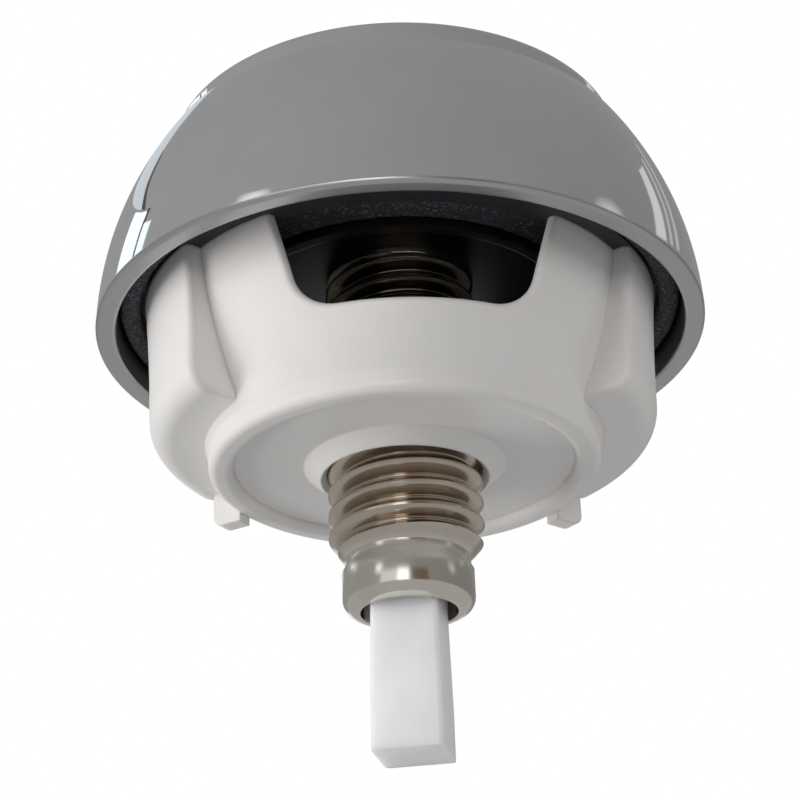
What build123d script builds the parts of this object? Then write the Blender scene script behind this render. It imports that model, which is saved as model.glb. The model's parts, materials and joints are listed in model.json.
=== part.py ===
from build123d import *
from math import radians, sin, tan
import os

# Push button cistern actuator, in millimetres.
# Z runs up the shank. Z = 0 is the plane of the bezel's rim, which sits on the cistern lid.
# The back nut's windows face -Y and +Y, and its grip lobes face -X and +X.

# Fits
RUNNING_GAP = 0.35
THREAD_GAP = 0.10
SNUG_GAP = 0.05

# Button
BUTTON_R = 24.6
BUTTON_EDGE_Z = 23.7
BUTTON_CROWN = 1.6
BUTTON_WALL = 1.5
BUTTON_EDGE_ROUND = 1.0
BUTTON_LIP_ROUND = 0.5
BUTTON_TRAVEL = 6.0
TRAVEL_SPARE = 0.8
SNAP_BEAD = 0.3

# Bezel, whose mouth takes the button and whose side flares out to the rim
WELL_R = BUTTON_R + RUNNING_GAP
MOUTH_LEDGE = 1.0
MOUTH_RISE = 0.2
MOUTH_ROUND = 0.4
SHOULDER_R = WELL_R + MOUTH_LEDGE
SHOULDER_Z = 20.5
SHOULDER_ROUND = 0.5
MOUTH_Z = SHOULDER_Z + MOUTH_RISE
SIDE_FLARE = 6.05
RIM_R = SHOULDER_R + SIDE_FLARE
RIM_WALL = 2.1
RIM_ROUND = 0.45
SIDE_ARC_R = (SIDE_FLARE ** 2 + SHOULDER_Z ** 2) / (2 * SIDE_FLARE)
SLEEVE_WALL = 1.5
POCKET_TOP_WIDTH = 0.5
WEB_BASE = 7.0
WEB_THICK = 2.0
WEB_TOP = WEB_BASE + WEB_THICK
COLLAR_R = 17.5
COLLAR_WALL = 1.4
COLLAR_END_Z = 3.1
POCKET_RIBS = 8
POCKET_RIB_THICK = 1.2

# Shank
THREAD_R = 7.9
SPIGOT_R = 7.0
SPIGOT_CHAMFER = 0.8
THREAD_END_Z = -22.7
NECK_R = 6.35
NECK_TOP_Z = -24.5
NECK_END_Z = -25.4
END_RING_R = 6.65
END_RING_TOP_Z = -25.9
END_RING_Z = -30.0
END_RING_ROUND = 1.4
SHANK_STEP_Z = -2.0

# Lock nut and tooth washer on top of the web
WASHER_R = 10.4
WASHER_THICK = 0.8
WASHER_TEETH = 12
TOOTH_GAP = 1.1
TOOTH_DEPTH = 1.5
LOCK_NUT_FLATS = 21.0
LOCK_NUT_HEIGHT = 3.2
LOCK_NUT_BEVEL = 0.5
LOCK_NUT_Z = WEB_TOP + WASHER_THICK
SHANK_TOP_Z = LOCK_NUT_Z + LOCK_NUT_HEIGHT

# Carrier and screw inside the button
CARRIER_BASE_Z = 19.9
CARRIER_THICK = 1.8
CARRIER_TOP_Z = CARRIER_BASE_Z + CARRIER_THICK
SOCKET_DEPTH = 0.8
SCREW_R = 1.5
SCREW_HEAD_R = 3.0
SCREW_HEAD_HEIGHT = 1.3
SCREW_HEAD_ROUND = 0.9
SCREW_LENGTH = 11.0
SCREW_TIP = 1.6
RECESS_LENGTH = 3.2
RECESS_WIDTH = 0.7
RECESS_DEPTH = 0.8

# Return spring
WIRE_R = 0.5
SPRING_R = 14.6
SPRING_TURNS = 3.5
SEAT_RING_WALL = 1.0
SEAT_RING_HEIGHT = 1.4

# Plunger rod, and the shank's bore that clears its corners
ROD_SIDE = 7.05
ROD_SIDE_UPPER = 6.7
ROD_ROUND = 0.5
ROD_TURN = -15.0
ROD_END_Z = -44.5
ROD_FOOT = 4.6
ROD_SPIGOT_R = 3.3
STOP_GAP = 0.3
ROD_CORNER_R = ROD_SIDE_UPPER / 2 ** 0.5 - ROD_ROUND * (2 ** 0.5 - 1)
SHANK_BORE_R = ROD_CORNER_R + RUNNING_GAP

# Gasket and slip washer
GASKET_BASE_Z = 4.0
GASKET_EDGE_DROP = 1.6
GASKET_EDGE_GAP = 0.1
SLIP_THICK = 0.8
SLIP_INSET = 2.9
SLIP_WIDTH = 3.6
SLIP_R = RIM_R - RIM_WALL - SLIP_INSET
SLIP_HOLE_R = SLIP_R - SLIP_WIDTH

# Back nut, which stays inside the rim
NUT_TOP_Z = GASKET_BASE_Z - SLIP_THICK
LOBE_INSET = 0.1
LOBE_MID_DRAFT = 0.55
LOBE_LOW_DRAFT = 0.8
LOBE_TOP_R = SLIP_R - LOBE_INSET
LOBE_MID_R = LOBE_TOP_R - LOBE_MID_DRAFT
LOBE_LOW_R = LOBE_TOP_R - LOBE_LOW_DRAFT
LOBE_MID_Z = -4.0
LOBE_FLOOR_Z = -12.2
LOBE_ROUND = 2.5
WALL_SOFT = 0.8
PANEL_INSET = 1.7
PANEL_MID_DRAFT = 1.75
PANEL_LOW_DRAFT = 5.7
PANEL_TOP_R = LOBE_TOP_R - PANEL_INSET
PANEL_MID_R = PANEL_TOP_R - PANEL_MID_DRAFT
PANEL_LOW_R = PANEL_TOP_R - PANEL_LOW_DRAFT
PANEL_MID_Z = -4.8
LOBE_ROOT_DEPTH = 3.5
LOBE_ROOT_R = PANEL_LOW_R - LOBE_ROOT_DEPTH
NUT_FLOOR_Z = -14.2
NUT_WALL = 2.1
NUT_FLOOR = 2.2
CUP_ROUND = 0.8
PANEL_HALF_ANGLE = 55.0
BEAD_OVERHANG = 0.6
BEAD_R = PANEL_LOW_R + BEAD_OVERHANG
BEAD_WIDTH = 2.6
BEAD_DROP = 1.0
BEAD_ROUND = 0.9
HUB_FOOT_R = 10.4
HUB_MOUTH_R = 8.6
HUB_DROP = 1.5
HUB_R = 11.4
HUB_TOP_Z = -8.0
WINDOW_TOP_HALF = 13.3
WINDOW_SILL_HALF = 10.55
WINDOW_SILL_Z = -6.6
WINDOW_ROUND = 4.5
WINDOW_SOFT = 0.6
LUG_INSET = 3.0
LUG_WIDTH = 3.5
LUG_OUT_R = LOBE_LOW_R - LUG_INSET
LUG_IN_R = LUG_OUT_R - LUG_WIDTH
LUG_DROP = 3.8
LUG_THICK = 1.8
LUG_ROUND = 1.2

# Room for cutters beyond the solids they cut
REACH = 80.0
OVERCUT = 1.0


def picked(face, *points):
    """The face's corners nearest to the given points."""
    return [min(face.vertices(), key=lambda v: (v.X - x) ** 2 + (v.Y - y) ** 2) for x, y in points]


def outline(*points):
    return make_face(Polyline(*points, close=True))


def turned(face):
    """Revolves a radius and height profile about Z."""
    return revolve(Plane.XZ * face, axis=Axis.Z)


def ring(inner, outer, low, high):
    return turned(outline((inner, low), (outer, low), (outer, high), (inner, high)))


def sector(half_angle, grow=0.0):
    """An upright wedge about -Y from the axis, with its two sides moved out by grow."""
    apex = grow / sin(radians(half_angle))
    spread = REACH * tan(radians(half_angle))
    return extrude(outline((0, apex), (-spread, apex - REACH), (spread, apex - REACH)), REACH, both=True)


def front_and_back(solid):
    return [solid, Rot(0, 0, 180) * solid]


def side_r(z, inset=0.0):
    """The radius of the dome's side at height z. Its arc is upright at the rim, and inset moves it in."""
    return RIM_R - SIDE_ARC_R + ((SIDE_ARC_R - inset) ** 2 - z ** 2) ** 0.5


def make_bezel():
    sleeve_r = WELL_R + SLEEVE_WALL
    roof_r = sleeve_r + POCKET_TOP_WIDTH
    roof_z = ((SIDE_ARC_R - RIM_WALL) ** 2 - (roof_r - RIM_R + SIDE_ARC_R) ** 2) ** 0.5
    inner_rim = (RIM_R - RIM_WALL, 0)
    inner_mid = (side_r(roof_z / 2, RIM_WALL), roof_z / 2)
    inner_top = (roof_r, roof_z)
    side_mid = (side_r(SHOULDER_Z / 2), SHOULDER_Z / 2)
    side = ThreePointArc((RIM_R, 0), side_mid, (SHOULDER_R, SHOULDER_Z))
    inside = ThreePointArc(inner_top, inner_mid, inner_rim)
    hole_r = SPIGOT_R + SNUG_GAP
    collar_out = COLLAR_R + COLLAR_WALL
    seat_r = SPRING_R + WIRE_R + RUNNING_GAP
    seat_out = seat_r + SEAT_RING_WALL
    seat_top = WEB_TOP + SEAT_RING_HEIGHT
    middle = Polyline(
        (SHOULDER_R, SHOULDER_Z),
        (WELL_R, MOUTH_Z),
        (WELL_R, WEB_TOP),
        (seat_out, WEB_TOP),
        (seat_out, seat_top),
        (seat_r, seat_top),
        (seat_r, WEB_TOP),
        (hole_r, WEB_TOP),
        (hole_r, WEB_BASE),
        (COLLAR_R, WEB_BASE),
        (COLLAR_R, COLLAR_END_Z),
        (collar_out, COLLAR_END_Z),
        (collar_out, WEB_BASE),
        (sleeve_r, WEB_BASE),
        (sleeve_r, roof_z),
        inner_top,
    )
    rim = Line(inner_rim, (RIM_R, 0))
    face = make_face(side + middle + inside + rim)
    face = fillet(picked(face, (RIM_R, 0), inner_rim), RIM_ROUND)
    face = fillet(picked(face, (SHOULDER_R, SHOULDER_Z)), SHOULDER_ROUND)
    face = fillet(picked(face, (WELL_R, MOUTH_Z), (COLLAR_R, COLLAR_END_Z)), MOUTH_ROUND)
    shell = turned(face)
    # Ribs in the pocket between the sleeve and the dome back up the gasket.
    sunk = RIM_WALL / 2
    room = turned(outline(
        (roof_r + sunk, roof_z),
        (sleeve_r, roof_z),
        (sleeve_r, WEB_BASE),
        (side_r(WEB_BASE, sunk), WEB_BASE),
    ))
    plate = Pos(REACH / 2, 0, 0) * Box(REACH, POCKET_RIB_THICK, REACH)
    plates = [Rot(0, 0, 360 / POCKET_RIBS * i) * plate for i in range(POCKET_RIBS)]
    for rib in plates:
        shell += room & rib
    return shell


def crown_arc(edge_r, edge_z, rise):
    """A shallow crown from its edge to its top on the axis, centred on the axis."""
    radius = (edge_r ** 2 + rise ** 2) / (2 * rise)
    half_z = edge_z + rise - radius + (radius ** 2 - (edge_r / 2) ** 2) ** 0.5
    return ThreePointArc((edge_r, edge_z), (edge_r / 2, half_z), (0, edge_z + rise))


def make_button():
    base = WEB_TOP + BUTTON_TRAVEL + TRAVEL_SPARE
    inner_r = BUTTON_R - BUTTON_WALL
    inner_edge = BUTTON_EDGE_Z - BUTTON_WALL
    top = crown_arc(BUTTON_R, BUTTON_EDGE_Z, BUTTON_CROWN)
    under = crown_arc(inner_r, inner_edge, BUTTON_CROWN)
    snap = CARRIER_BASE_Z - SNUG_GAP
    skirt = Polyline(
        (inner_r, inner_edge),
        (inner_r, snap),
        (inner_r - SNAP_BEAD, snap - SNAP_BEAD),
        (inner_r, snap - 2 * SNAP_BEAD),
        (inner_r, base),
        (BUTTON_R, base),
        (BUTTON_R, BUTTON_EDGE_Z),
    )
    axis = Line((0, BUTTON_EDGE_Z + BUTTON_CROWN), (0, inner_edge + BUTTON_CROWN))
    face = make_face(top + axis + under + skirt)
    face = fillet(picked(face, (BUTTON_R, BUTTON_EDGE_Z)), BUTTON_EDGE_ROUND)
    face = fillet(picked(face, (BUTTON_R, base), (inner_r, base)), BUTTON_LIP_ROUND)
    return turned(face)


def make_carrier():
    edge = BUTTON_R - BUTTON_WALL - SNUG_GAP
    seat_in = SPRING_R - WIRE_R - RUNNING_GAP
    seat_low = CARRIER_BASE_Z - SEAT_RING_HEIGHT
    socket_r = ROD_SPIGOT_R + SNUG_GAP
    socket_top = CARRIER_BASE_Z + SOCKET_DEPTH
    hole_r = SCREW_R + SNUG_GAP
    return turned(outline(
        (hole_r, CARRIER_TOP_Z),
        (edge, CARRIER_TOP_Z),
        (edge, CARRIER_BASE_Z),
        (seat_in, CARRIER_BASE_Z),
        (seat_in, seat_low),
        (seat_in - SEAT_RING_WALL, seat_low),
        (seat_in - SEAT_RING_WALL, CARRIER_BASE_Z),
        (socket_r, CARRIER_BASE_Z),
        (socket_r, socket_top),
        (hole_r, socket_top),
    ))


def make_screw():
    head_top = CARRIER_TOP_Z + SCREW_HEAD_HEIGHT
    end = CARRIER_TOP_Z - SCREW_LENGTH
    face = outline(
        (0, head_top),
        (SCREW_HEAD_R, head_top),
        (SCREW_HEAD_R, CARRIER_TOP_Z),
        (SCREW_R, CARRIER_TOP_Z),
        (SCREW_R, end + SCREW_TIP),
        (0, end),
    )
    face = fillet(picked(face, (SCREW_HEAD_R, head_top)), SCREW_HEAD_ROUND)
    screw = turned(face)
    slot = Pos(0, 0, head_top) * Box(RECESS_LENGTH, RECESS_WIDTH, 2 * RECESS_DEPTH)
    return screw - slot - Rot(0, 0, 90) * slot


def make_rod():
    foot_top = ROD_END_Z + ROD_FOOT
    shoulder = SHANK_STEP_Z - STOP_GAP
    wide = RectangleRounded(ROD_SIDE, ROD_SIDE, ROD_ROUND)
    narrow = RectangleRounded(ROD_SIDE_UPPER, ROD_SIDE_UPPER, ROD_ROUND)
    foot = extrude(Pos(0, 0, ROD_END_Z) * wide, ROD_FOOT)
    taper = loft([Pos(0, 0, foot_top) * wide, Pos(0, 0, END_RING_Z) * narrow])
    stem = extrude(Pos(0, 0, END_RING_Z) * narrow, shoulder - END_RING_Z)
    top = CARRIER_BASE_Z + SOCKET_DEPTH
    spigot = extrude(Pos(0, 0, shoulder) * Circle(ROD_SPIGOT_R), top - shoulder)
    pilot_end = CARRIER_TOP_Z - SCREW_LENGTH - OVERCUT
    pilot = extrude(Pos(0, 0, pilot_end) * Circle(SCREW_R + SNUG_GAP), top - pilot_end + OVERCUT)
    return Rot(0, 0, ROD_TURN) * (foot + taper + stem + spigot - pilot)


def make_spring():
    low = WEB_TOP + WIRE_R
    height = CARRIER_BASE_Z - WIRE_R - low
    path = Pos(0, 0, low) * Helix(pitch=height / SPRING_TURNS, height=height, radius=SPRING_R)
    wire = Plane(origin=path @ 0, z_dir=path % 0) * Circle(WIRE_R)
    return sweep(wire, path=path, is_frenet=True)


def make_shank():
    hole_r = ROD_SPIGOT_R + RUNNING_GAP
    face = outline(
        (hole_r, SHANK_TOP_Z),
        (SPIGOT_R - SPIGOT_CHAMFER, SHANK_TOP_Z),
        (SPIGOT_R, SHANK_TOP_Z - SPIGOT_CHAMFER),
        (SPIGOT_R, WEB_BASE),
        (THREAD_R, WEB_BASE),
        (THREAD_R, THREAD_END_Z),
        (NECK_R, NECK_TOP_Z),
        (NECK_R, NECK_END_Z),
        (END_RING_R, END_RING_TOP_Z),
        (END_RING_R, END_RING_Z),
        (SHANK_BORE_R, END_RING_Z),
        (SHANK_BORE_R, SHANK_STEP_Z),
        (hole_r, SHANK_STEP_Z),
    )
    face = fillet(picked(face, (END_RING_R, END_RING_Z)), END_RING_ROUND)
    return turned(face)


def make_lock_nut():
    flat_r = LOCK_NUT_FLATS / 2
    hexagon = RegularPolygon(flat_r, 6, major_radius=False)
    blank = extrude(Pos(0, 0, LOCK_NUT_Z) * hexagon, LOCK_NUT_HEIGHT)
    # A cone through the flats' upper edges takes the corners off.
    reach_r = LOCK_NUT_FLATS / 3 ** 0.5 + OVERCUT
    crown = turned(outline(
        (SPIGOT_R + SNUG_GAP, LOCK_NUT_Z),
        (reach_r, LOCK_NUT_Z),
        (reach_r, SHANK_TOP_Z - LOCK_NUT_BEVEL * (reach_r - flat_r)),
        (flat_r, SHANK_TOP_Z),
        (SPIGOT_R + SNUG_GAP, SHANK_TOP_Z),
    ))
    return blank & crown


def make_tooth_washer():
    washer = ring(SPIGOT_R + SNUG_GAP, WASHER_R, WEB_TOP, LOCK_NUT_Z)
    notch = Pos(WASHER_R, 0, WEB_TOP) * Box(2 * TOOTH_DEPTH, TOOTH_GAP, REACH)
    for i in range(WASHER_TEETH):
        washer -= Rot(0, 0, 360 / WASHER_TEETH * i) * notch
    return washer


def nut_outline(top_r, mid, low_r, low_z, shrink):
    """A cup's outside profile from its rim to its floor, with its walls moved in by shrink."""
    top = (top_r - shrink, NUT_TOP_Z)
    low = (low_r - shrink, low_z)
    wall = ThreePointArc(top, (mid[0] - shrink, mid[1]), low)
    return wall + Polyline(low, (0, low_z), (0, NUT_TOP_Z), top)


def lobe_profile(floor, rounding, shrink=0.0):
    face = make_face(nut_outline(LOBE_TOP_R, (LOBE_MID_R, LOBE_MID_Z), LOBE_LOW_R, floor, shrink))
    return fillet(picked(face, (LOBE_LOW_R - shrink, floor)), rounding)


def panel_profile(floor, shrink=0.0):
    return make_face(nut_outline(PANEL_TOP_R, (PANEL_MID_R, PANEL_MID_Z), PANEL_LOW_R, floor, shrink))


def make_lobes():
    """The two grip lobes, still solid, with soft edges round their radial side walls."""
    lobes = turned(lobe_profile(LOBE_FLOOR_Z, LOBE_ROUND)) - Cylinder(LOBE_ROOT_R, REACH)
    for recess in front_and_back(sector(PANEL_HALF_ANGLE)):
        lobes -= recess
    soft = []
    for side in lobes.faces().filter_by(GeomType.PLANE):
        upright = abs(side.normal_at().Z) < 0.5
        for edge in side.edges():
            middle = edge.center()
            below_rim = middle.Z < NUT_TOP_Z - SNUG_GAP
            off_root = (middle.X ** 2 + middle.Y ** 2) ** 0.5 > LOBE_ROOT_R + SNUG_GAP
            if upright and below_rim and off_root:
                soft.append(edge)
    return fillet(soft, WALL_SOFT)


def make_lugs():
    """Two small lugs under the lobes, along the radial walls behind the axis."""
    top = LOBE_FLOOR_Z + NUT_FLOOR / 2
    low = LOBE_FLOOR_Z - LUG_DROP
    face = outline((LUG_IN_R, top), (LUG_OUT_R, top), (LUG_OUT_R, low), (LUG_IN_R, low))
    strip = turned(fillet(picked(face, (LUG_OUT_R, low)), LUG_ROUND))
    band = sector(PANEL_HALF_ANGLE, LUG_THICK) - sector(PANEL_HALF_ANGLE)
    return Rot(0, 0, 180) * (strip & band)


def make_back_nut():
    # A panel with a window is set in between the lobes at the front and at the back.
    nut = make_lobes() + turned(panel_profile(NUT_FLOOR_Z)) + make_lugs()
    inner_floor = NUT_FLOOR_Z + NUT_FLOOR
    hollow = turned(lobe_profile(LOBE_FLOOR_Z + NUT_FLOOR, CUP_ROUND, NUT_WALL))
    for wall in front_and_back(sector(PANEL_HALF_ANGLE, NUT_WALL)):
        hollow -= wall
    nut = nut - hollow - turned(panel_profile(inner_floor, NUT_WALL))
    bead_in = BEAD_R - BEAD_WIDTH
    bead_low = NUT_FLOOR_Z - BEAD_DROP
    bead_top = NUT_FLOOR_Z + NUT_FLOOR
    bead = outline((bead_in, bead_top), (BEAD_R, bead_top), (BEAD_R, bead_low), (bead_in, bead_low))
    nut += turned(fillet(picked(bead, (BEAD_R, bead_low), (bead_in, bead_low)), BEAD_ROUND))
    hub_end = NUT_FLOOR_Z - HUB_DROP
    bore_r = THREAD_R + THREAD_GAP
    hub = turned(outline(
        (0, HUB_TOP_Z),
        (HUB_R, HUB_TOP_Z),
        (HUB_R, NUT_FLOOR_Z),
        (HUB_FOOT_R, NUT_FLOOR_Z),
        (HUB_MOUTH_R + SNUG_GAP, hub_end),
        (0, hub_end),
    ))
    bore = turned(outline(
        (0, HUB_TOP_Z + OVERCUT),
        (bore_r, HUB_TOP_Z + OVERCUT),
        (bore_r, hub_end + HUB_MOUTH_R - bore_r),
        (HUB_MOUTH_R, hub_end),
        (HUB_MOUTH_R, hub_end - OVERCUT),
        (0, hub_end - OVERCUT),
    ))
    nut = nut + hub - bore
    window = outline(
        (-WINDOW_TOP_HALF, NUT_TOP_Z),
        (-WINDOW_SILL_HALF, WINDOW_SILL_Z),
        (WINDOW_SILL_HALF, WINDOW_SILL_Z),
        (WINDOW_TOP_HALF, NUT_TOP_Z),
        (WINDOW_TOP_HALF, NUT_TOP_Z + OVERCUT),
        (-WINDOW_TOP_HALF, NUT_TOP_Z + OVERCUT),
    )
    corners = picked(window, (-WINDOW_SILL_HALF, WINDOW_SILL_Z), (WINDOW_SILL_HALF, WINDOW_SILL_Z))
    cutter = extrude(Plane.XZ * fillet(corners, WINDOW_ROUND), REACH)
    cut = nut - front_and_back(cutter)
    edges = new_edges(nut, *front_and_back(cutter), combined=cut)
    soft = [edge for edge in edges if edge.center().Z < NUT_TOP_Z - SNUG_GAP]
    return fillet(soft, WINDOW_SOFT)


def make_gasket():
    hole_r = COLLAR_R + COLLAR_WALL + SNUG_GAP
    edge_z = GASKET_BASE_Z - GASKET_EDGE_DROP
    edge_in = SLIP_R + RUNNING_GAP
    # The squeezed foam swells down between the slip washer and the bezel's wall.
    return turned(outline(
        (hole_r, WEB_BASE),
        (side_r(WEB_BASE, RIM_WALL + GASKET_EDGE_GAP), WEB_BASE),
        (side_r(edge_z, RIM_WALL + GASKET_EDGE_GAP), edge_z),
        (edge_in, edge_z),
        (edge_in, GASKET_BASE_Z),
        (hole_r, GASKET_BASE_Z),
    ))


def make_slip_washer():
    return ring(SLIP_HOLE_R, SLIP_R, NUT_TOP_Z, GASKET_BASE_Z)


PARTS = {
    "bezel": make_bezel,
    "push_button": make_button,
    "button_carrier": make_carrier,
    "carrier_screw": make_screw,
    "plunger_rod": make_rod,
    "return_spring": make_spring,
    "threaded_shank": make_shank,
    "shank_lock_nut": make_lock_nut,
    "tooth_lock_washer": make_tooth_washer,
    "foam_gasket": make_gasket,
    "slip_washer": make_slip_washer,
    "back_nut": make_back_nut,
}

os.makedirs("parts", exist_ok=True)
for name, make in PARTS.items():
    export_step(make(), f"parts/{name}.step")
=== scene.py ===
import json
from math import atan2, cos, pi, radians, sin, tan

import bmesh
import bpy
from mathutils import Matrix, Vector, noise


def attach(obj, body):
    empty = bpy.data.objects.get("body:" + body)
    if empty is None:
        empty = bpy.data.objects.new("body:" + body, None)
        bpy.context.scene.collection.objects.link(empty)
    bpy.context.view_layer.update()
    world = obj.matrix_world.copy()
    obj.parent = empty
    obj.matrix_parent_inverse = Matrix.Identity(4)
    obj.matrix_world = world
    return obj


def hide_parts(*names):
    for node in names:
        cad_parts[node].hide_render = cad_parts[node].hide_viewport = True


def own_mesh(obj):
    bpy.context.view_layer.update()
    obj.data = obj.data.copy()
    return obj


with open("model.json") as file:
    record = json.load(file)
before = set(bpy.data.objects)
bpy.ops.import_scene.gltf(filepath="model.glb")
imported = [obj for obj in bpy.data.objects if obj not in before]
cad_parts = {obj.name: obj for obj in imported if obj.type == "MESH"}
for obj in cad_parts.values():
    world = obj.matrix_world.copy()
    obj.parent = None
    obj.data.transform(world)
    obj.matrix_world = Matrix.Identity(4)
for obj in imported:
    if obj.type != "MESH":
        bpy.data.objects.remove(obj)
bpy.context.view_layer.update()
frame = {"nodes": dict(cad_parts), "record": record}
nodes = frame["nodes"]

# Push button cistern actuator. Sizes are in millimetres and become metres through MM.
MM = 0.001

# Camera, at the photograph's viewing angle
CAMERA_AT = (-12.72, -177.80, -93.50)
CAMERA_TARGET = (-0.29, -0.06, -6.59)
CAMERA_ROLL = -1.8
CAMERA_LENS = 85.5
CAMERA_SENSOR = 36.0
CAMERA_NEAR = 10.0

# Meshes: points this close become one, edges this short go, and turned pieces have this many columns
MERGE = 0.002
SHORTEST_EDGE = 0.001
TURN_COLUMNS = 288
ROUND_STEPS = 10
EDGE_GUARD = 0.04

# Threaded shank, with 11 turns an inch. The crest, the root and the mesh's rows are shares of the pitch.
THREAD_R = 7.9
THREAD_PITCH = 25.4 / 11
THREAD_DEPTH = 1.3
CREST_HALF = 0.06
ROOT_HALF = 0.08
THREAD_ROWS = (0.0, 0.05, 0.09, 0.13, 0.20, 0.28, 0.36, 0.40, 0.44, 0.5)
THREAD_TOP_Z = 6.8
RUN_IN = 0.6
CHAMFER_Z = -22.7
NECK_R = 6.35
NECK_TOP_Z = -24.5
NECK_END_Z = -25.4
RING_R = 6.65
RING_TOP_Z = -25.9
RING_END_Z = -30.0
RING_ROUND = 1.4
RING_ROUND_STEPS = 6
BORE_R = 4.88
BORE_STEP_Z = -2.0
HOLE_R = 3.65
SHANK_TOP_Z = 13.0
SPIGOT_R = 7.0
SPIGOT_CHAMFER = 0.8
SPIGOT_END_Z = 7.0
SHANK_COLUMNS = 128

# Bezel
SHOULDER_R = 25.95
SHOULDER_Z = 20.5
SHOULDER_ROUND = 0.5
SIDE_FLARE = 6.05
SIDE_ARC_R = (SIDE_FLARE ** 2 + SHOULDER_Z ** 2) / (2 * SIDE_FLARE)
SIDE_FROM_Z = 0.8
SIDE_TO_EDGE = 0.5
SIDE_STEPS = 40
INNER_SIDE_STEPS = 20
RIM_R = SHOULDER_R + SIDE_FLARE
RIM_WALL = 2.1
RIM_ROUND = 0.45
WELL_R = 24.95
MOUTH_Z = 20.7
MOUTH_ROUND = 0.4
WEB_TOP = 9.0
WEB_BASE = 7.0
WEB_HOLE_R = 7.05
SEAT_RING_R = (15.45, 16.45)
SEAT_RING_TOP = 10.4
COLLAR_R = (17.5, 18.9)
COLLAR_END_Z = 3.1
SLEEVE_R = 26.45
ROOF_R = 26.95
RIBS = 8
RIB_HALF = 0.6

# Button
BUTTON_R = 24.6
BUTTON_EDGE_Z = 23.7
BUTTON_EDGE_ROUND = 1.0
BUTTON_WALL = 1.5
BUTTON_BASE_Z = 15.8
BUTTON_LIP_ROUND = 0.5
BUTTON_CROWN = 1.6
CROWN_INSET = 1.5
CROWN_STEPS = 24
SNAP_Z = 19.85
SNAP_BEAD = 0.3

# Return spring
SPRING_R = 14.6
SPRING_TURNS = 3.5
SPRING_TOP_Z = 19.9
SPRING_RINGS = 196
WIRE_R = 0.5
WIRE_POINTS = 14

# Foam gasket
FOAM_HOLE_R = 18.95
FOAM_TOP_R = 29.1
FOAM_TOP_Z = 7.0
FOAM_EDGE_R = 29.71
FOAM_EDGE_IN = 27.35
FOAM_EDGE_Z = 2.4
FOAM_BASE_Z = 4.0
FOAM_ROUND = 0.9
FOAM_SMALL_ROUND = FOAM_ROUND / 3
FOAM_ROUND_STEPS = 5
FOAM_COLUMNS = 360
FOAM_STEP = 0.25
FOAM_GRAIN = 0.7
FOAM_PIT = 0.10

# The colour sockets of a Mix node
MIX_FIRST = 6
MIX_SECOND = 7
MIX_OUT = 2

# In the finishes below, a grain is the size of a noise's features, a tone is a share of the slot's colour,
# and a pair of roughnesses is where the roughness starts and ends.

# Chrome. Inside the dome it is thin, dull plating, darkened further by painted shade that is deepest high
# up; the inside is told by the depth below the side's curve and by the height. Painted shade also darkens
# the rim's flat edge.
SMUDGE_GRAIN = 9.0
SMUDGE_TONE = 0.95
CHROME_ROUGH = (0.03, 0.075)
WAVE_GRAIN = 14.0
WAVE_DEPTH = 0.03
DOME_CURVE = 0.01355
DOME_SKIN = (1.75, 1.95)
INSIDE_FROM = (0.3, 0.6)
INSIDE_TO = (14.5, 15.0)
INSIDE_SHADE_Z = (2.2, 3.4)
THIN_AND_SHADED_PLATING = (0.30, 0.30, 0.31)
SHADED_PLATING = (0.07, 0.07, 0.075)
RIM_FLAT = (0.28, 0.60)
RIM_SHADE_TONE = 0.60
DULL_PLATING = 0.30

# Nickel
LATHE_GRAIN = 0.9
LATHE_STRETCH = (0.02, 0.02, 9.0)
LATHE_DEPTH = 0.006
STAIN_GRAIN = 3.0
STAIN_TONE = 0.82
STAIN_MOST = 0.5
NICKEL_ROUGH = (0.12, 0.22)
# The thread is tinted browner, and painted shade darkens its roots.
THREAD_BROWNING = 0.6
THREAD_BROWN = (0.46, 0.38, 0.30)
ROOT_SHADE_TONE = 0.85
ROOT_R = (6.7, 7.4)

# Steel
STEEL_GRAIN = 1.2
STEEL_TONE = 0.8
STEEL_ROUGH = (0.24, 0.38)
STEEL_DEPTH = 0.01

# White plastic
FLOW_GRAIN = 7.0
FLOW_TONE = 0.955
WHITE_ROUGH = (0.27, 0.36)
WHITE_DEPTH = 0.8
WHITE_RADIUS = (1.0, 0.8, 0.6)
WHITE_SHARE = 0.10
SKIN_GRAIN = 0.35
SKIN_DEPTH = 0.004
SOFT_EDGE = 0.35
SOFT_EDGE_SAMPLES = 4

# Rod plastic
CLOUD_GRAIN = 4.0
CLOUD_TONE = 0.94
ROD_ROUGH = (0.30, 0.42)
ROD_DEPTH = 4.0
ROD_RADIUS = (1.0, 1.0, 1.0)
ROD_SHARE = 0.9
DRAW_GRAIN = 0.8
DRAW_STRETCH = (1, 1, 0.06)
DRAW_DEPTH = 0.02

# Grey and black plastic
DULL_GRAIN = 0.5
DULL_TONES = (1.15, 0.85)
DULL_SPREAD = 0.06
DULL_DEPTH = 0.012
GREY_ROUGH = 0.5
BLACK_ROUGH = 0.42

# Foam
CELL_GRAIN = 0.55
CELL_DEPTH = 0.18
CELL_ROUGH = (0.65, 0.9)
CELL_REACH = (0.1, 0.6)
SPECK_GRAIN = 0.30
SPECK_REACH = (0.55, 0.75)
SPECK_COLOUR = (0.21, 0.22, 0.24)
# Painted light: the foam's colour is lifted to stand in for light that its hollow doesn't get.
FOAM_LIGHT_LIFT = 2.0

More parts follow.
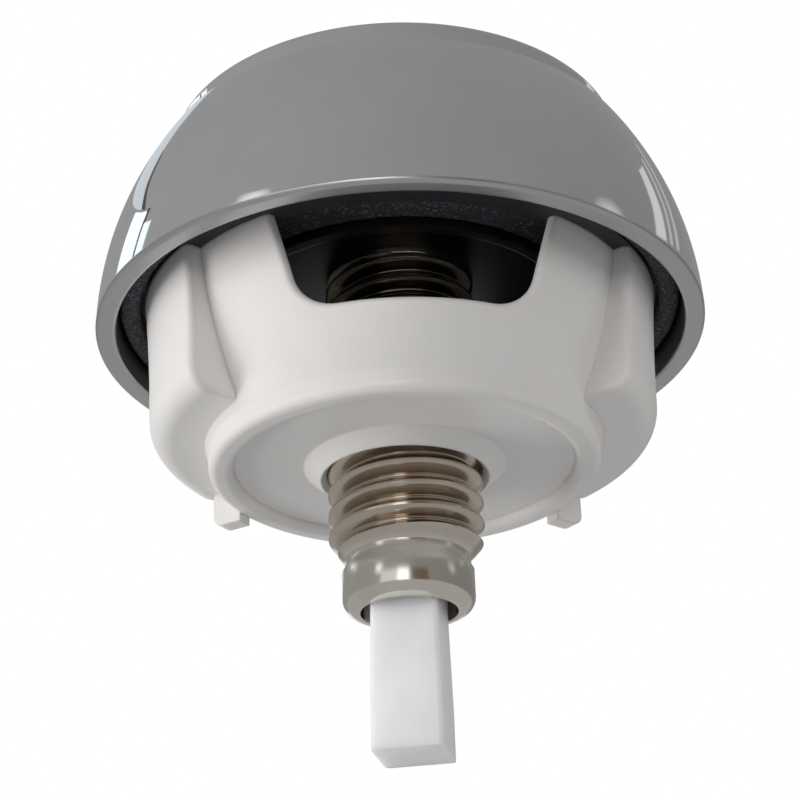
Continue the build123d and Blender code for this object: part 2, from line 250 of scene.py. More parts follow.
# Stage and light. Azimuth 0 is the front, -Y, and grows towards +X. Angles are in degrees and distances
# in metres.
WORLD_LIGHT = 0.38
CLOTH = (1.0, 0.995, 0.985)
TABLE_Z = -0.165
TABLE_R = 1.0
TABLE_GREY = 0.44
TENT_R = 1.3
TENT_LEFT = 0.36
TENT_RIGHT = 0.24
TENT_LOW = -25
TENT_BEND = 50
TENT_TOP = 89.9
TENT_GAP = 14
LAMP_R = 0.8
LAMP_COLOUR = (1.0, 0.985, 0.972)
CARD_R = 0.9
CARD_BACK_R = CARD_R + 0.01
CARD_FRONT_R = CARD_R - 0.01
CARD_DEGREES = 5
WHITE = (1.0, 1.0, 1.0)
PAPER = (1.0, 0.99, 0.97)
DAYLIGHT = (0.82, 0.93, 1.0)
HAZE = (0.88, 0.95, 1.0)
POST_BROWN = (0.10, 0.075, 0.06)
FRONT_BROWN = (0.17, 0.12, 0.08)
LEFT_LEAN = -3.2
RIGHT_RISE = (30.5, 42)
FRONT_RISE = (-10, 24)
GLINT_FADE = (0.25, 0.70)
CARD_MIDDLE = (0.5, 0.5, 0.5)


def slot_colour(slot):
    """The record's colour of a material slot."""
    found = [m for m in frame["record"]["materials"] if m["slot"] == slot]
    return tuple(found[0]["base_color"])


def tinted(colour, factor):
    return tuple(c * factor for c in colour)


class Shader:
    """A Principled material with short calls for the nodes that the finishes share."""

    def __init__(self, name):
        self.material = bpy.data.materials.new(name)
        self.material.use_nodes = True
        self.tree = self.material.node_tree
        self.bsdf = self.tree.nodes["Principled BSDF"]
        self.where = self.tree.nodes.new("ShaderNodeTexCoord").outputs["Object"]

    def feed(self, socket, value):
        """Links a node's output to a socket, or sets the socket to a plain value."""
        if isinstance(value, bpy.types.NodeSocket):
            self.tree.links.new(value, socket)
        else:
            socket.default_value = value

    def node(self, kind, inputs, **settings):
        made = self.tree.nodes.new(kind)
        for key, value in settings.items():
            setattr(made, key, value)
        for key, value in inputs.items():
            self.feed(made.inputs[key], value)
        return made

    def set(self, **values):
        """Sets the shader's own sockets, named with underscores, to a value or a node's output."""
        for key, value in values.items():
            self.feed(self.bsdf.inputs[key.replace("_", " ")], value)

    def stretched(self, x, y, z):
        mapping = self.node("ShaderNodeMapping", {"Vector": self.where, "Scale": (x, y, z)})
        return mapping.outputs["Vector"]

    def noise(self, grain, detail, where=None):
        """Noise with features about grain millimetres across."""
        inputs = {"Vector": where or self.where, "Scale": 1 / (grain * MM), "Detail": detail}
        return self.node("ShaderNodeTexNoise", inputs).outputs["Fac"]

    def spread(self, value, low, high, start=0.3, end=0.7):
        """Runs from low to high as a value goes from start to end, and stays at them beyond."""
        inputs = {"Value": value, "From Min": start, "From Max": end, "To Min": low, "To Max": high}
        return self.node("ShaderNodeMapRange", inputs).outputs["Result"]

    def mixed(self, factor, first, second):
        mix = self.node("ShaderNodeMix", {0: factor}, data_type="RGBA")
        for place, value in ((MIX_FIRST, first), (MIX_SECOND, second)):
            if not isinstance(value, bpy.types.NodeSocket):
                value = (*value, 1.0)
            self.feed(mix.inputs[place], value)
        return mix.outputs[MIX_OUT]

    def bump(self, height, depth, normal=None):
        """A bump of that depth in millimetres."""
        inputs = {"Height": height, "Distance": depth * MM, "Strength": 1.0}
        if normal is not None:
            inputs["Normal"] = normal
        return self.node("ShaderNodeBump", inputs).outputs["Normal"]

    def axis_distance(self):
        """The distance from the shank's axis, in metres."""
        flat = self.stretched(1, 1, 0)
        return self.node("ShaderNodeVectorMath", {0: flat}, operation="LENGTH").outputs["Value"]

    def along(self, axis):
        """The place along X, Y or Z, in metres."""
        return self.node("ShaderNodeSeparateXYZ", {0: self.where}).outputs[axis]

    def math(self, operation, first, second):
        return self.node("ShaderNodeMath", {0: first, 1: second}, operation=operation).outputs[0]


def under_dome(s):
    """1 on the bezel's inside faces and 0 on its outside, by the depth below the dome's side curve."""
    z = s.along("Z")
    fall = s.math("MULTIPLY", s.math("MULTIPLY", z, z), DOME_CURVE / MM)
    side = s.math("SUBTRACT", RIM_R * MM, fall)
    depth = s.math("SUBTRACT", side, s.axis_distance())
    inner = s.spread(depth, 0, 1, DOME_SKIN[0] * MM, DOME_SKIN[1] * MM)
    above = s.spread(z, 0, 1, INSIDE_FROM[0] * MM, INSIDE_FROM[1] * MM)
    below = s.spread(z, 1, 0, INSIDE_TO[0] * MM, INSIDE_TO[1] * MM)
    return s.math("MULTIPLY", inner, s.math("MULTIPLY", above, below))


def chrome():
    """Mirror plating with faint wipe marks and long waves, dull inside and on the rim's flat edge, with
    painted shade darkening both.
    """
    s = Shader("chrome")
    colour = slot_colour("chrome")
    smudge = s.noise(SMUDGE_GRAIN, detail=4.0)
    z = s.along("Z")
    inside = under_dome(s)
    flat = s.spread(z, 1, 0, RIM_FLAT[0] * MM, RIM_FLAT[1] * MM)
    bright = s.mixed(s.spread(smudge, 0, 1), colour, tinted(colour, SMUDGE_TONE))
    # Painted shade: the rim's flat edge is darkened.
    rim_shaded = s.mixed(flat, bright, tinted(colour, RIM_SHADE_TONE))
    # Painted shade: the inside grows darker higher up in the dome.
    deep_shade = s.spread(z, 0, 1, INSIDE_SHADE_Z[0] * MM, INSIDE_SHADE_Z[1] * MM)
    thin_and_shaded = s.mixed(deep_shade, THIN_AND_SHADED_PLATING, SHADED_PLATING)
    dull = s.math("MULTIPLY", s.math("MAXIMUM", inside, flat), DULL_PLATING)
    s.set(Base_Color=s.mixed(inside, rim_shaded, thin_and_shaded))
    s.set(Metallic=1.0, Roughness=s.math("ADD", s.spread(smudge, *CHROME_ROUGH), dull))
    s.set(Normal=s.bump(s.noise(WAVE_GRAIN, detail=1.0), WAVE_DEPTH))
    return s.material


def nickel():
    """Bright nickel on turned brass, with fine lathe rings, a darker, browner thread and painted shade in
    the thread's roots.
    """
    s = Shader("nickel")
    colour = slot_colour("nickel")
    rings = s.noise(LATHE_GRAIN, detail=4.0, where=s.stretched(*LATHE_STRETCH))
    stain = s.noise(STAIN_GRAIN, detail=4.0)
    # Painted shade in the thread's roots, where the radius falls below the crests.
    low = s.spread(s.axis_distance(), 1, 0, ROOT_R[0] * MM, ROOT_R[1] * MM)
    thread = s.spread(s.along("Z"), 0, 1, NECK_TOP_Z * MM, CHAMFER_Z * MM)
    worn = s.mixed(s.spread(stain, 0, STAIN_MOST), colour, tinted(colour, STAIN_TONE))
    # The whole thread is tinted browner.
    browned = s.mixed(s.math("MULTIPLY", thread, THREAD_BROWNING), worn, THREAD_BROWN)
    s.set(Base_Color=s.mixed(s.math("MULTIPLY", low, thread), browned, tinted(THREAD_BROWN, ROOT_SHADE_TONE)))
    s.set(Metallic=1.0, Roughness=s.spread(stain, *NICKEL_ROUGH))
    s.set(Normal=s.bump(rings, LATHE_DEPTH))
    return s.material


def steel():
    """Plain bright steel with a fine grain."""
    s = Shader("steel")
    colour = slot_colour("steel")
    grain = s.noise(STEEL_GRAIN, detail=5.0)
    s.set(Base_Color=s.mixed(grain, colour, tinted(colour, STEEL_TONE)))
    s.set(Metallic=1.0, Roughness=s.spread(grain, *STEEL_ROUGH))
    s.set(Normal=s.bump(grain, STEEL_DEPTH))
    return s.material


def white_plastic():
    """Warm white moulding with a soft gloss, a faint flow of tone and a fine skin."""
    s = Shader("white_plastic")
    colour = slot_colour("white_plastic")
    flow = s.noise(FLOW_GRAIN, detail=2.0)
    skin = s.noise(SKIN_GRAIN, detail=2.0)
    s.set(Base_Color=s.mixed(s.spread(flow, 0, 1, 0, 1), colour, tinted(colour, FLOW_TONE)))
    s.set(Roughness=s.spread(flow, *WHITE_ROUGH, 0, 1))
    s.set(Subsurface_Weight=WHITE_SHARE, Subsurface_Radius=WHITE_RADIUS, Subsurface_Scale=WHITE_DEPTH * MM)
    edge = s.node("ShaderNodeBevel", {"Radius": SOFT_EDGE * MM}, samples=SOFT_EDGE_SAMPLES)
    s.set(Normal=s.bump(skin, SKIN_DEPTH, normal=edge.outputs["Normal"]))
    return s.material


def rod_plastic():
    """Milky natural plastic that lets light into its edges, with faint draw lines along it."""
    s = Shader("rod_plastic")
    colour = slot_colour("rod_plastic")
    cloud = s.noise(CLOUD_GRAIN, detail=2.0)
    drawn = s.noise(DRAW_GRAIN, detail=3.0, where=s.stretched(*DRAW_STRETCH))
    s.set(Base_Color=s.mixed(s.spread(cloud, 0, 1), colour, tinted(colour, CLOUD_TONE)))
    s.set(Roughness=s.spread(cloud, *ROD_ROUGH))
    s.set(Subsurface_Weight=ROD_SHARE, Subsurface_Radius=ROD_RADIUS, Subsurface_Scale=ROD_DEPTH * MM)
    s.set(Normal=s.bump(drawn, DRAW_DEPTH))
    return s.material


def dull_plastic(slot, rough):
    """Plain moulded plastic with a fine grain."""
    s = Shader(slot)
    colour = slot_colour(slot)
    grain = s.noise(DULL_GRAIN, detail=3.0)
    s.set(Base_Color=s.mixed(grain, tinted(colour, DULL_TONES[0]), tinted(colour, DULL_TONES[1])))
    s.set(Roughness=s.spread(grain, rough - DULL_SPREAD, rough + DULL_SPREAD))
    s.set(Normal=s.bump(grain, DULL_DEPTH))
    return s.material


def black_foam():
    """Closed-cell foam: near black, its colour lifted by painted light, with pale specks where cut cells
    catch the light.
    """
    s = Shader("black_foam")
    colour = slot_colour("black_foam")
    voronoi = s.node("ShaderNodeTexVoronoi", {"Vector": s.where, "Scale": 1 / (CELL_GRAIN * MM)})
    cells = voronoi.outputs["Distance"]
    specks = s.spread(s.noise(SPECK_GRAIN, detail=2.0), 0, 1, *SPECK_REACH)
    # Painted light: the base colour is lifted above the slot's colour.
    s.set(Base_Color=s.mixed(specks, tinted(colour, FOAM_LIGHT_LIFT), SPECK_COLOUR))
    s.set(Roughness=s.spread(cells, *CELL_ROUGH, *CELL_REACH))
    s.set(Normal=s.bump(cells, CELL_DEPTH))
    return s.material


FINISHES = {
    "chrome": chrome(),
    "nickel": nickel(),
    "steel": steel(),
    "white_plastic": white_plastic(),
    "rod_plastic": rod_plastic(),
    "grey_plastic": dull_plastic("grey_plastic", GREY_ROUGH),
    "black_plastic": dull_plastic("black_plastic", BLACK_ROUGH),
    "black_foam": black_foam(),
}


def dress_nodes():
    """Gives each CAD node the finish of its slot."""
    for part in frame["record"]["subparts"]:
        mesh = nodes[part["node"]].data
        mesh.materials.clear()
        mesh.materials.append(FINISHES[part["material_slot"]])


def add_mesh(name, verts, faces):
    mesh = bpy.data.meshes.new(name)
    mesh.from_pydata(verts, [], faces)
    obj = bpy.data.objects.new(name, mesh)
    bpy.context.scene.collection.objects.link(obj)
    return obj


def finish_piece(obj, slot, body, node, sharp):
    """Cleans a closed mesh, smooths it up to the sharp angle and sets it in place of its node."""
    work = bmesh.new()
    work.from_mesh(obj.data)
    bmesh.ops.remove_doubles(work, verts=work.verts, dist=MERGE * MM)
    bmesh.ops.dissolve_degenerate(work, edges=work.edges, dist=SHORTEST_EDGE * MM)
    bmesh.ops.recalc_face_normals(work, faces=work.faces)
    work.to_mesh(obj.data)
    work.free()
    obj.data.shade_smooth()
    obj.data.set_sharp_from_angle(angle=radians(sharp))
    obj.data.materials.append(FINISHES[slot])
    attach(obj, body)
    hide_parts(node)
    return obj


def turned(r, angle, z):
    """A point at a radius, an angle about the shank's axis and a height, in metres."""
    return (r * cos(angle) * MM, r * sin(angle) * MM, z * MM)


def bands(first, rows, columns):
    """The faces between rows of points, each row closed on itself."""
    faces = []
    for row in range(rows):
        start = first + row * columns
        for i in range(columns):
            here = start + i
            side = start + (i + 1) % columns
            faces.append((here, side, side + columns, here + columns))
    return faces


def around(loops):
    """The points and faces of a closed ring whose columns are the given loops."""
    columns, count = len(loops), len(loops[0])
    verts, faces = [], []
    for column, loop in enumerate(loops):
        angle = 2 * pi * column / columns
        verts += [turned(r, angle, z) for r, z in loop]
        shift = ((column + 1) % columns - column) * count
        for i in range(count):
            here = column * count + i
            above = column * count + (i + 1) % count
            faces.append((here, here + shift, above + shift, above))
    return verts, faces


def spaced(start, end, steps):
    return [start + (end - start) * k / steps for k in range(steps + 1)]


def rounded(corners, steps):
    """A closed loop of points through corners, each a radius, a height and a rounding."""
    loop = []
    for i, (r, z, soft) in enumerate(corners):
        here = Vector((r, z))
        if not soft:
            loop.append(here)
            continue
        before = (Vector(corners[i - 1][:2]) - here).normalized()
        after = (Vector(corners[(i + 1) % len(corners)][:2]) - here).normalized()
        half = before.angle(after) / 2
        reach = soft / tan(half)
        centre = here + (before + after).normalized() * soft / sin(half)
        first = here + before * reach - centre
        last = here + after * reach - centre
        start = atan2(first.y, first.x)
        sweep = (atan2(last.y, last.x) - start + pi) % (2 * pi) - pi
        # A point beside each end keeps the flat beyond it flat when the normals are smoothed.
        loop.append(here + before * (reach + EDGE_GUARD))
        for k in range(steps + 1):
            angle = start + sweep * k / steps
            loop.append(centre + Vector((cos(angle), sin(angle))) * soft)
        loop.append(here + after * (reach + EDGE_GUARD))
    return loop


def thread_drop(phase):
    """How far below its crest the thread is at a share of its pitch, as a share of its depth."""
    away = min(phase, 1 - phase)
    t = (away - CREST_HALF) / (0.5 - CREST_HALF - ROOT_HALF)
    t = max(0.0, min(1.0, t))
    return 0.5 * t + 0.5 * t * t * (3 - 2 * t)


def thread_r(z, phase):
    """The thread's radius, shallow where it starts at the top and cut by the chamfer at its end."""
    start = max(0.0, min(1.0, (THREAD_TOP_Z - z) / RUN_IN))
    r = THREAD_R - THREAD_DEPTH * start * thread_drop(phase)
    cone = THREAD_R - (THREAD_R - NECK_R) * (CHAMFER_Z - z) / (CHAMFER_Z - NECK_TOP_Z)
    return max(NECK_R, min(r, cone))


def shank_profile():
    """The shank's turned outline from the thread's end round by the bore to the thread's start."""
    ring_low = []
    for angle in spaced(0, -90, RING_ROUND_STEPS):
        r = RING_R - RING_ROUND + RING_ROUND * cos(radians(angle))
        z = RING_END_Z + RING_ROUND + RING_ROUND * sin(radians(angle))
        ring_low.append((r, z))
    return [
        (NECK_R, NECK_TOP_Z),
        (NECK_R, NECK_END_Z),
        (RING_R, RING_TOP_Z),
        *ring_low,
        (BORE_R, RING_END_Z),
        (BORE_R, BORE_STEP_Z),
        (HOLE_R, BORE_STEP_Z),
        (HOLE_R, SHANK_TOP_Z),
        (SPIGOT_R - SPIGOT_CHAMFER, SHANK_TOP_Z),
        (SPIGOT_R, SHANK_TOP_Z - SPIGOT_CHAMFER),
        (SPIGOT_R, SPIGOT_END_Z),
        (THREAD_R, SPIGOT_END_Z),
        (THREAD_R, THREAD_TOP_Z),
    ]


def threaded_shank():
    """The shank with its right-hand helical thread cut inside the outline that the solid has."""
    phases = [*THREAD_ROWS, *(1 - p for p in reversed(THREAD_ROWS[1:-1]))]
    per_turn = len(phases)
    turns = int((THREAD_TOP_Z - NECK_TOP_Z) / THREAD_PITCH) + 2
    rows = turns * per_turn + 1
    verts, faces = [], []
    # Each row follows the helix, so the crests and roots run along the mesh's own lines.
    for row in range(rows):
        turn, step = divmod(row, per_turn)
        for column in range(SHANK_COLUMNS):
            share = column / SHANK_COLUMNS
            z = THREAD_TOP_Z + THREAD_PITCH * (share - turn - phases[step])
            z = max(NECK_TOP_Z, min(THREAD_TOP_Z, z))
            verts.append(turned(thread_r(z, phases[step]), 2 * pi * share, z))
    # The last column meets the first of the row a turn above it.
    for row in range(rows - 1):
        for column in range(SHANK_COLUMNS):
            here = row * SHANK_COLUMNS + column
            if column < SHANK_COLUMNS - 1:
                side = here + 1
            else:
                side = (row - per_turn) * SHANK_COLUMNS
            if side < 0:
                continue
            faces.append((here, side, side + SHANK_COLUMNS, here + SHANK_COLUMNS))
    profile = shank_profile()
    faces += bands(len(verts), len(profile) - 1, SHANK_COLUMNS)
    for r, z in profile:
        verts += [turned(r, 2 * pi * column / SHANK_COLUMNS, z) for column in range(SHANK_COLUMNS)]
    shank = add_mesh("shank_with_thread", verts, faces)
    finish_piece(shank, "nickel", "housing", "threaded_shank", sharp=32)


def side_r(z, inset=0.0):
    """The radius of the dome's side at a height, moved in by inset."""
    return RIM_R - SIDE_ARC_R + ((SIDE_ARC_R - inset) ** 2 - z ** 2) ** 0.5


def bezel_ribs(roof_z):
    """Upright ribs across the pocket, each reaching into the walls beside it."""
    sunk = RIM_WALL / 2
    section = [
        (SLEEVE_R - sunk, WEB_BASE),
        (side_r(WEB_BASE, sunk), WEB_BASE),
        (ROOF_R + sunk, roof_z + sunk),
        (SLEEVE_R - sunk, roof_z + sunk),
    ]
    count = len(section)
    verts, faces = [], []
    for rib in range(RIBS):
        angle = 2 * pi * rib / RIBS
        near = [len(verts) + i for i in range(count)]
        for half in (-RIB_HALF, RIB_HALF):
            for r, z in section:
                x = r * cos(angle) - half * sin(angle)
                y = r * sin(angle) + half * cos(angle)
                verts.append((x * MM, y * MM, z * MM))
        faces.append(tuple(reversed(near)))
        faces.append(tuple(i + count for i in near))
        faces += bands(near[0], 1, count)
    return add_mesh("bezel_ribs", verts, faces)


def bezel():
    """The plated dome with its well, web and collar, turned finely, and the ribs in its pocket."""
    roof_z = ((SIDE_ARC_R - RIM_WALL) ** 2 - (ROOF_R - RIM_R + SIDE_ARC_R) ** 2) ** 0.5
    side = [(side_r(z), z, 0) for z in spaced(SIDE_FROM_Z, SHOULDER_Z - SIDE_TO_EDGE, SIDE_STEPS)]
    inner_heights = spaced(roof_z - SIDE_TO_EDGE, SIDE_FROM_Z, INNER_SIDE_STEPS)
    inside = [(side_r(z, RIM_WALL), z, 0) for z in inner_heights]
    corners = [
        (RIM_R, 0, RIM_ROUND),
        *side,
        (SHOULDER_R, SHOULDER_Z, SHOULDER_ROUND),
        (WELL_R, MOUTH_Z, MOUTH_ROUND),
        (WELL_R, WEB_TOP, 0),
        (SEAT_RING_R[1], WEB_TOP, 0),
        (SEAT_RING_R[1], SEAT_RING_TOP, 0),
        (SEAT_RING_R[0], SEAT_RING_TOP, 0),
        (SEAT_RING_R[0], WEB_TOP, 0),
        (WEB_HOLE_R, WEB_TOP, 0),
        (WEB_HOLE_R, WEB_BASE, 0),
        (COLLAR_R[0], WEB_BASE, 0),
        (COLLAR_R[0], COLLAR_END_Z, MOUTH_ROUND),
        (COLLAR_R[1], COLLAR_END_Z, 0),
        (COLLAR_R[1], WEB_BASE, 0),
        (SLEEVE_R, WEB_BASE, 0),
        (SLEEVE_R, roof_z, 0),
        (ROOF_R, roof_z, 0),
        *inside,
        (RIM_R - RIM_WALL, 0, RIM_ROUND),
    ]
    loop = rounded(corners, ROUND_STEPS)
    shell = add_mesh("bezel_dome", *around([loop] * TURN_COLUMNS))
    ribs = bezel_ribs(roof_z)
    join = shell.modifiers.new("ribs", "BOOLEAN")
    join.operation = "UNION"
    join.solver = "EXACT"
    join.object = ribs
    joined = shell.evaluated_get(bpy.context.evaluated_depsgraph_get())
    mesh = bpy.data.meshes.new_from_object(joined)
    shell.modifiers.clear()
    shell.data = mesh
    bpy.data.objects.remove(ribs)
    finish_piece(shell, "chrome", "housing", "bezel", sharp=35)


def crown(edge_r, edge_z):
    """A shallow crown's points from beside its edge to its middle."""
    ball = (edge_r ** 2 + BUTTON_CROWN ** 2) / (2 * BUTTON_CROWN)
    base = edge_z + BUTTON_CROWN - ball
    radii = spaced(edge_r - CROWN_INSET, 0.0, CROWN_STEPS)
    return [(r, base + (ball ** 2 - r ** 2) ** 0.5, 0) for r in radii]


def push_button():
    """The plated cap, turned finely."""
    inner_r = BUTTON_R - BUTTON_WALL
    inner_edge = BUTTON_EDGE_Z - BUTTON_WALL
    corners = [
        (BUTTON_R, BUTTON_EDGE_Z, BUTTON_EDGE_ROUND),
        *crown(BUTTON_R, BUTTON_EDGE_Z),
        *reversed(crown(inner_r, inner_edge)),
        (inner_r, inner_edge, 0),
        (inner_r, SNAP_Z, 0),
        (inner_r - SNAP_BEAD, SNAP_Z - SNAP_BEAD, 0),
        (inner_r, SNAP_Z - 2 * SNAP_BEAD, 0),
        (inner_r, BUTTON_BASE_Z, BUTTON_LIP_ROUND),
        (BUTTON_R, BUTTON_BASE_Z, BUTTON_LIP_ROUND),
    ]
    loop = rounded(corners, ROUND_STEPS)
    cap = add_mesh("button_cap", *around([loop] * TURN_COLUMNS))
    finish_piece(cap, "chrome", "button", "push_button", sharp=35)


def return_spring():
    """The coil between the web and the carrier, on a mesh of its own. The real coil shortens as the button
    goes down; this one is built at one length.
    """
    low = WEB_TOP + WIRE_R
    height = SPRING_TOP_Z - WIRE_R - low
    verts = []
    for share in spaced(0, 1, SPRING_RINGS):
        angle = 2 * pi * SPRING_TURNS * share
        for i in range(WIRE_POINTS):
            turn = 2 * pi * i / WIRE_POINTS
            r = SPRING_R + WIRE_R * cos(turn)
            z = low + height * share + WIRE_R * sin(turn)
            verts.append(turned(r, angle, z))
    faces = bands(0, SPRING_RINGS, WIRE_POINTS)
    last = SPRING_RINGS * WIRE_POINTS
    faces.append(tuple(reversed(range(WIRE_POINTS))))
    faces.append(tuple(range(last, last + WIRE_POINTS)))
    coil = add_mesh("spring_coil", verts, faces)
    finish_piece(coil, "steel", "housing", "return_spring", sharp=50)
    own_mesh(coil)


def foam_section():
    """The foam ring's section inside its solid's outline, with soft edges, in short steps."""
    corners = [
        (FOAM_HOLE_R, FOAM_BASE_Z, FOAM_SMALL_ROUND),
        (FOAM_EDGE_IN, FOAM_BASE_Z, 0),
        (FOAM_EDGE_IN, FOAM_EDGE_Z, FOAM_ROUND),
        (FOAM_EDGE_R, FOAM_EDGE_Z, FOAM_ROUND),
        (FOAM_TOP_R, FOAM_TOP_Z, FOAM_SMALL_ROUND),
        (FOAM_HOLE_R, FOAM_TOP_Z, FOAM_SMALL_ROUND),
    ]
    bends = rounded(corners, FOAM_ROUND_STEPS)
    section = []
    for i, point in enumerate(bends):
        span = bends[(i + 1) % len(bends)] - point
        steps = max(1, int(span.length / FOAM_STEP))
        section += [point + span * (k / steps) for k in range(steps)]
    return section


def foam_gasket():
    """The foam ring with its pitted skin."""
    section = foam_section()
    loops = []
    for column in range(FOAM_COLUMNS):
        angle = 2 * pi * column / FOAM_COLUMNS
        loop = []
        for i, point in enumerate(section):
            at = Vector((point.x * cos(angle), point.x * sin(angle), point.y))
            pit = FOAM_PIT * (0.5 + 0.5 * noise.noise(at / FOAM_GRAIN))
            along = section[(i + 1) % len(section)] - section[i - 1]
            loop.append(point + Vector((-along.y, along.x)).normalized() * pit)
        loops.append(loop)
    obj = add_mesh("foam_ring", *around(loops))
    finish_piece(obj, "black_foam", "housing", "foam_gasket", sharp=60)


def toward(azimuth, elevation):
    a, e = radians(azimuth), radians(elevation)
    return Vector((sin(a) * cos(e), -cos(a) * cos(e), sin(e)))


def emitter(name, colour, strength):
    material = bpy.data.materials.new(name)
    material.use_nodes = True
    tree = material.node_tree
    tree.nodes.clear()
    out = tree.nodes.new("ShaderNodeOutputMaterial")
    glow = tree.nodes.new("ShaderNodeEmission")
    glow.inputs["Color"].default_value = (*colour, 1.0)
    glow.inputs["Strength"].default_value = strength
    tree.links.new(glow.outputs[0], out.inputs["Surface"])
    return material


def graded(material, value, reach, strengths):
    """Makes an emitter's strength run from one to the other as a value goes over its reach."""
    tree = material.node_tree
    shade = tree.nodes.new("ShaderNodeMapRange")
    limits = ("From Min", "From Max", "To Min", "To Max")
    for key, number in zip(limits, (*reach, *strengths)):
        shade.inputs[key].default_value = number
    tree.links.new(value, shade.inputs["Value"])
    tree.links.new(shade.outputs["Result"], tree.nodes["Emission"].inputs["Strength"])
    return material


def tent_cloth():
    """Grey cloth that is lighter on the left, the side of the key lamp."""
    material = emitter("tent_cloth", CLOTH, strength=1.0)
    tree = material.node_tree
    where = tree.nodes.new("ShaderNodeTexCoord")
    apart = tree.nodes.new("ShaderNodeSeparateXYZ")
    tree.links.new(where.outputs["Object"], apart.inputs[0])
    return graded(material, apart.outputs["X"], (-TENT_R, TENT_R), (TENT_LEFT, TENT_RIGHT))


def glint(name, peak, edge):
    """A card's light that fades from its middle to the cloth's brightness at its edge."""
    material = emitter(name, CLOTH, peak)
    tree = material.node_tree
    where = tree.nodes.new("ShaderNodeTexCoord")
    away = tree.nodes.new("ShaderNodeVectorMath")
    away.operation = "DISTANCE"
    away.inputs[1].default_value = CARD_MIDDLE
    tree.links.new(where.outputs["Generated"], away.inputs[0])
    return graded(material, away.outputs["Value"], GLINT_FADE, (peak, edge))


def patch(name, material, azimuths, elevations, distance=CARD_R, lean=0.0):
    """A card on a sphere about the object, unseen by the camera, whose azimuth leans as it rises."""
    steps = max(2, int(abs(azimuths[1] - azimuths[0]) / CARD_DEGREES))
    rows = max(2, int(abs(elevations[1] - elevations[0]) / CARD_DEGREES))
    verts, faces = [], []
    for j in range(rows + 1):
        for azimuth in spaced(*azimuths, steps):
            rise = (elevations[1] - elevations[0]) * j / rows
            verts.append(toward(azimuth + lean * rise, elevations[0] + rise) * distance)
    for j in range(rows):
        for i in range(steps):
            here = j * (steps + 1) + i
            faces.append((here, here + 1, here + steps + 2, here + steps + 1))
    card = add_mesh(name, verts, faces)
    card.data.materials.append(material)
    card.visible_camera = False
    return card


def keep_to_mirrors(card):
    """Lets a card show in reflections without lighting or shading anything."""
    card.visible_diffuse = False
    card.visible_shadow = False


def background(tree, strength):
    made = tree.nodes.new("ShaderNodeBackground")
    made.inputs["Color"].default_value = (*WHITE, 1.0)
    made.inputs["Strength"].default_value = strength
    return made.outputs[0]


def add_world():
    """White to the camera and in reflections, and a plain grey light for the rest."""
    world = bpy.data.worlds.new("surroundings")
    bpy.context.scene.world = world
    world.use_nodes = True
    tree = world.node_tree
    tree.nodes.clear()
    out = tree.nodes.new("ShaderNodeOutputWorld")
    path = tree.nodes.new("ShaderNodeLightPath")
    seen = path.outputs["Is Camera Ray"]
    for other in ("Is Glossy Ray", "Is Transmission Ray"):
        either = tree.nodes.new("ShaderNodeMath")
        either.operation = "MAXIMUM"
        tree.links.new(seen, either.inputs[0])
        tree.links.new(path.outputs[other], either.inputs[1])
        seen = either.outputs[0]
    mix = tree.nodes.new("ShaderNodeMixShader")
    tree.links.new(seen, mix.inputs[0])
    tree.links.new(background(tree, WORLD_LIGHT), mix.inputs[1])
    tree.links.new(background(tree, 1.0), mix.inputs[2])
    tree.links.new(mix.outputs[0], out.inputs["Surface"])


def add_lamp(name, azimuth, elevation, width, height, radiance):
    """A soft lamp that faces the object and that mirrors don't show, as bright at its face as given."""
    data = bpy.data.lights.new(name, "AREA")
    data.shape = "RECTANGLE"
    data.size = width
    data.size_y = height
    data.energy = radiance * pi * width * height
    data.color = LAMP_COLOUR
    obj = bpy.data.objects.new(name, data)
    bpy.context.scene.collection.objects.link(obj)
    direction = toward(azimuth, elevation)
    obj.location = direction * LAMP_R
    obj.rotation_euler = direction.to_track_quat("Z", "Y").to_euler()
    obj.visible_camera = False
    obj.visible_glossy = False


def add_table():
    """Grey cloth under the object, which only mirrors show."""
    corners = [(-TABLE_R, -TABLE_R), (TABLE_R, -TABLE_R), (TABLE_R, TABLE_R), (-TABLE_R, TABLE_R)]
    table = add_mesh("table_cloth", [(x, y, TABLE_Z) for x, y in corners], [(0, 1, 2, 3)])
    table.data.materials.append(emitter("table_cloth", CLOTH, TABLE_GREY))
    table.visible_camera = False
    keep_to_mirrors(table)


def add_tent():
    """A grey tent with a gap behind the object."""
    cloth = tent_cloth()
    half = 180 - TENT_GAP
    patch("tent_top", cloth, (-180, 180), (TENT_BEND, TENT_TOP), TENT_R)
    patch("tent_sides", cloth, (-half, half), (TENT_LOW, TENT_BEND), TENT_R)


def add_lamps():
    add_lamp("key_lamp", azimuth=-68, elevation=3, width=0.50, height=0.40, radiance=4.0)
    add_lamp("low_lamp", azimuth=-92, elevation=-16, width=0.40, height=0.20, radiance=9.0)
    add_lamp("fill_lamp", azimuth=28, elevation=8, width=0.50, height=0.35, radiance=2.3)
    add_lamp("right_lamp", azimuth=98, elevation=-18, width=0.30, height=0.20, radiance=3.0)


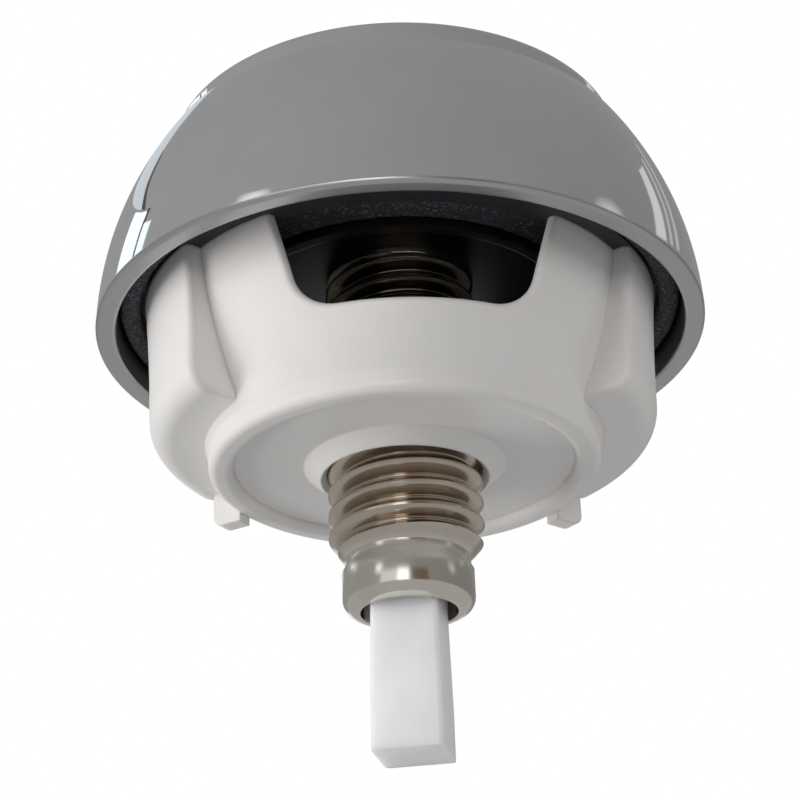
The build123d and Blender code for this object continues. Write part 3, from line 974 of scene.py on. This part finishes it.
def add_cards():
    """What the plating mirrors: windows at both sides, cards at the front and a soft glint on each side."""
    daylight = emitter("daylight", DAYLIGHT, strength=1.4)
    haze = emitter("haze", HAZE, strength=0.72)
    dark = emitter("dark_post", POST_BROWN, strength=1.0)
    pale = emitter("pale_window", WHITE, strength=0.66)
    dim = emitter("dim_window", WHITE, strength=0.52)
    patch("left_window", daylight, azimuths=(-133, -119.5), elevations=(29, 38))
    patch("left_pane", daylight, azimuths=(-118, -112.5), elevations=(29, 36))
    patch("left_bar", dark, azimuths=(-120, -117.5), elevations=(29, 38.5), distance=CARD_BACK_R)
    patch("left_post", dark, azimuths=(-126.5, -122.5), elevations=(38.4, 44.6), lean=LEFT_LEAN)
    patch("left_haze", haze, (-165, -126.5), (38.4, 47), distance=CARD_BACK_R, lean=LEFT_LEAN)
    patch("right_window", pale, azimuths=(106, 114), elevations=RIGHT_RISE, lean=1.2)
    patch("right_slit", dim, azimuths=(117, 119.5), elevations=RIGHT_RISE, lean=1.4)
    patch("right_gap", dim, azimuths=(122.5, 125.5), elevations=RIGHT_RISE, lean=1.7)
    front_card = emitter("front_card", PAPER, strength=0.8)
    keep_to_mirrors(patch("front_card", front_card, azimuths=(-52, -22), elevations=FRONT_RISE))
    front_bright = emitter("front_bright", PAPER, strength=1.9)
    keep_to_mirrors(patch("front_bright", front_bright, azimuths=(-22, -3), elevations=FRONT_RISE))
    front_brown = emitter("front_brown", FRONT_BROWN, strength=1.0)
    keep_to_mirrors(patch("front_brown", front_brown, azimuths=(2, 30), elevations=FRONT_RISE))
    left_glint = glint("left_glint", peak=1.3, edge=TENT_LEFT)
    patch("left_glint", left_glint, azimuths=(-64, -50), elevations=(20, 34.2), distance=CARD_FRONT_R)
    right_glint = glint("right_glint", peak=0.7, edge=TENT_RIGHT)
    patch("right_glint", right_glint, azimuths=(73, 87), elevations=(20, 34.5))


def add_camera():
    data = bpy.data.cameras.new("camera")
    data.lens = CAMERA_LENS
    data.sensor_width = CAMERA_SENSOR
    data.clip_start = CAMERA_NEAR * MM
    obj = bpy.data.objects.new("camera", data)
    bpy.context.scene.collection.objects.link(obj)
    at = Vector(CAMERA_AT) * MM
    forward = (Vector(CAMERA_TARGET) * MM - at).normalized()
    level = forward.cross(Vector((0, 0, 1))).normalized()
    upright = level.cross(forward)
    roll = radians(CAMERA_ROLL)
    right = level * cos(roll) + upright * sin(roll)
    up = upright * cos(roll) - level * sin(roll)
    turn = Matrix((right, up, -forward)).transposed().to_4x4()
    obj.matrix_world = Matrix.Translation(at) @ turn
    bpy.context.scene.camera = obj


dress_nodes()
bezel()
push_button()
return_spring()
threaded_shank()
foam_gasket()
add_world()
add_tent()
add_table()
add_lamps()
add_cards()
add_camera()
bpy.context.scene.view_settings.view_transform = "Standard"
